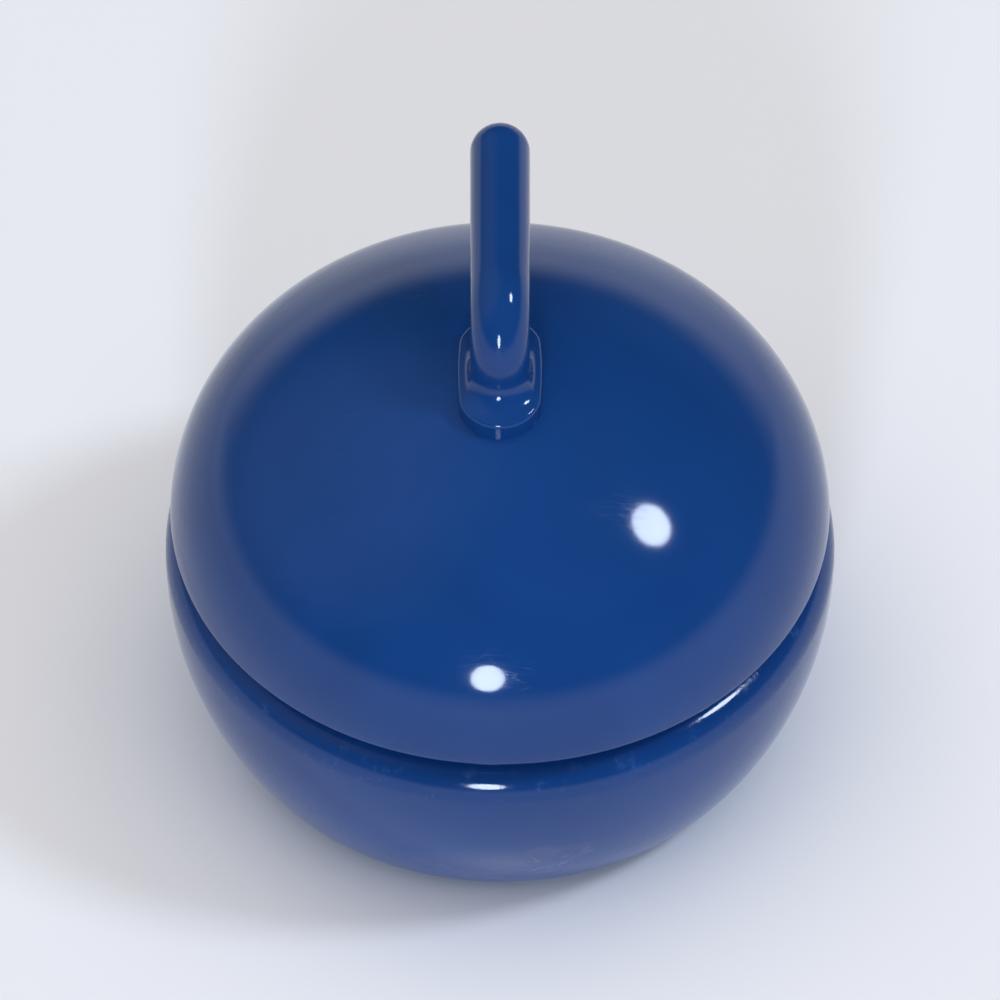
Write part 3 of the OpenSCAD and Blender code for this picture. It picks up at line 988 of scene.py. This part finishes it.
def makeFloor(s):
    half = s["floorSize"] / 2
    corners = [(-half, -half, 0), (half, -half, 0), (half, half, 0), (-half, half, 0)]
    floor = meshObject("floor", corners, faces=[(0, 1, 2, 3)])
    material, tree, shader = startMaterial("paleFloor")
    shader.inputs["Base Color"].default_value = hexToLinear(s["floorColour"])
    shader.inputs["Roughness"].default_value = s["floorRoughness"]
    # the floor is clear from below, to the lamp underneath and within a step of the underside,
    # so that the ball and the screws can be looked at from below
    below = addNode(tree, "ShaderNodeNewGeometry").outputs["Backfacing"]
    ray = addNode(tree, "ShaderNodeLightPath").outputs
    close = addNode(tree, "ShaderNodeMath", {"operation": "LESS_THAN", 1: s["clearStep"]},
                    {0: ray["Ray Length"]})
    # far off, where the lamps' light thins out, gloss sees the backdrop's even tone through the floor
    far = addNode(tree, "ShaderNodeMath", {"operation": "GREATER_THAN", 1: s["mirrorReach"]},
                  {0: ray["Ray Length"]})
    mirrored = addNode(tree, "ShaderNodeMath", {"operation": "MULTIPLY"},
                       {0: far.outputs[0], 1: ray["Is Glossy Ray"]})
    clearness = below
    for rule in (ray["Is Shadow Ray"], close.outputs[0], mirrored.outputs[0]):
        clearness = addNode(tree, "ShaderNodeMath", {"operation": "MAXIMUM"},
                            {0: clearness, 1: rule}).outputs[0]
    clear = addNode(tree, "ShaderNodeBsdfTransparent")
    either = addNode(tree, "ShaderNodeMixShader",
                     links={0: clearness, 1: shader.outputs[0], 2: clear.outputs[0]})
    tree.links.new(either.outputs[0], tree.nodes["Material Output"].inputs["Surface"])
    floor.data.materials.append(material)


def makeWorld(s):
    # a dim room behind a pale backdrop that goes on from the table
    world = bpy.data.worlds.new("studioRoom")
    bpy.context.scene.world = world
    world.use_nodes = True
    tree = world.node_tree
    tree.nodes.clear()
    view = addNode(tree, "ShaderNodeTexCoord").outputs["Generated"]
    height = addNode(tree, "ShaderNodeSeparateXYZ", links={"Vector": view}).outputs["Z"]
    rise = addNode(tree, "ShaderNodeMapRange", {"From Min": s["horizonTop"], "From Max": s["ceilingLow"],
                                                "interpolation_type": "SMOOTHSTEP"}, {"Value": height})
    low = [c * s["horizonLevel"] for c in hexToLinear(s["horizonColour"])[:3]] + [1]
    high = [c * s["ceilingLevel"] for c in hexToLinear(s["ceilingColour"])[:3]] + [1]
    room = addNode(tree, "ShaderNodeMix", {"data_type": "RGBA", 6: low, 7: high}, {0: rise.outputs[0]})
    # a curtained window far to the left gives the dome a broad faint sheen without an edge
    window = direction(s["windowAzimuth"], s["windowElevation"])
    near = addNode(tree, "ShaderNodeVectorMath", {"operation": "DOT_PRODUCT", 1: window}, {0: view})
    glow = addNode(tree, "ShaderNodeMapRange", {"From Min": s["windowEdge"], "To Max": s["windowLevel"],
                                                "interpolation_type": "SMOOTHSTEP"},
                   {"Value": near.outputs["Value"]})
    lit = addNode(tree, "ShaderNodeVectorMath", {"operation": "ADD"},
                  {0: room.outputs[2], 1: glow.outputs[0]})
    # gloss sees the backdrop's pale tone too, from below the table up to where it fades into the room
    ray = addNode(tree, "ShaderNodeLightPath").outputs
    backdrop = addNode(tree, "ShaderNodeMapRange",
                       {"From Max": s["backdropTop"], "To Min": 1.0, "To Max": 0.0,
                        "interpolation_type": "SMOOTHSTEP"}, {"Value": height})
    mirrored = addNode(tree, "ShaderNodeMath", {"operation": "MULTIPLY"},
                       {0: backdrop.outputs[0], 1: ray["Is Glossy Ray"]})
    direct = addNode(tree, "ShaderNodeMath", {"operation": "MAXIMUM"},
                     {0: mirrored.outputs[0], 1: ray["Is Camera Ray"]})
    colour = addNode(tree, "ShaderNodeMix", {"data_type": "RGBA", 7: hexToLinear(s["cameraColour"])},
                     {0: direct.outputs[0], 6: lit.outputs[0]})
    shade = addNode(tree, "ShaderNodeBackground", {"Strength": 1.0}, {"Color": colour.outputs[2]})
    addNode(tree, "ShaderNodeOutputWorld", links={"Surface": shade.outputs[0]})


def addLamp(name, place, target, settings, glossy=True, shape="ELLIPSE"):
    data = bpy.data.lights.new(name, "AREA")
    data.shape = shape
    data.size = settings["size"]
    data.size_y = settings["tall"]
    data.energy = settings["power"]
    data.color = hexToLinear(settings["colour"])[:3]
    lamp = addObject(name, data)
    lamp.location = place
    lamp.rotation_euler = (Vector(target) - Vector(place)).to_track_quat("-Z", "Y").to_euler()
    lamp.visible_camera = False
    lamp.visible_glossy = glossy


def addUnderLamp(s):
    # a narrow lamp under the floor lights the underside, with no bounces;
    # in views from above it brightens the bowl's side too, most at the foot
    data = bpy.data.lights.new("underLamp", "SPOT")
    data.energy = s["power"]
    data.shadow_soft_size = s["size"] / 2
    data.spot_size = 2 * math.atan(s["reach"] / s["depth"])
    data.spot_blend = s["softEdge"]
    data.cycles.max_bounces = 0
    lamp = addObject("underLamp", data)
    lamp.location = (0, 0, -s["depth"])
    lamp.rotation_euler = (math.pi, 0, 0)
    lamp.visible_camera = False


makeFloor(studio)
makeWorld(studio)
target = Vector(studio["target"])
for name in ("frontLamp", "sideLamp"):
    lamp = studio[name]
    away = direction(lamp["azimuth"], lamp["elevation"]) * studio["lampDistance"]
    addLamp(name, target + away, target, lamp)
addUnderLamp(studio["underLamp"])
fill = studio["fillLamp"]
addLamp("fillLamp", (0, 0, fill["height"]), target, fill, glossy=False, shape="SQUARE")

shot = {
    "azimuth": 0,
    "elevation": 50.0,
    "distance": 1.26,
    "aim": (0, 0.0043, 0.0062),
    "frameWidth": 0.0405,
    "sensor": 36,  # mm
    "clip": (0.01, 20),
}


def makeCamera(s):
    data = bpy.data.cameras.new("camera")
    data.sensor_width = s["sensor"]
    data.lens = data.sensor_width * s["distance"] / s["frameWidth"]
    data.clip_start, data.clip_end = s["clip"]
    camera = addObject("camera", data)
    a, e = math.radians(s["azimuth"]), math.radians(s["elevation"])
    back = Vector((math.sin(a) * math.cos(e), -math.cos(a) * math.cos(e), math.sin(e)))
    camera.location = Vector(s["aim"]) + back * s["distance"]
    camera.rotation_mode = "QUATERNION"
    camera.rotation_quaternion = (-back).to_track_quat("-Z", "Y")
    bpy.context.scene.camera = camera


makeCamera(shot)
bpy.context.scene.view_settings.view_transform = "Standard"
print("floor, light and camera set")
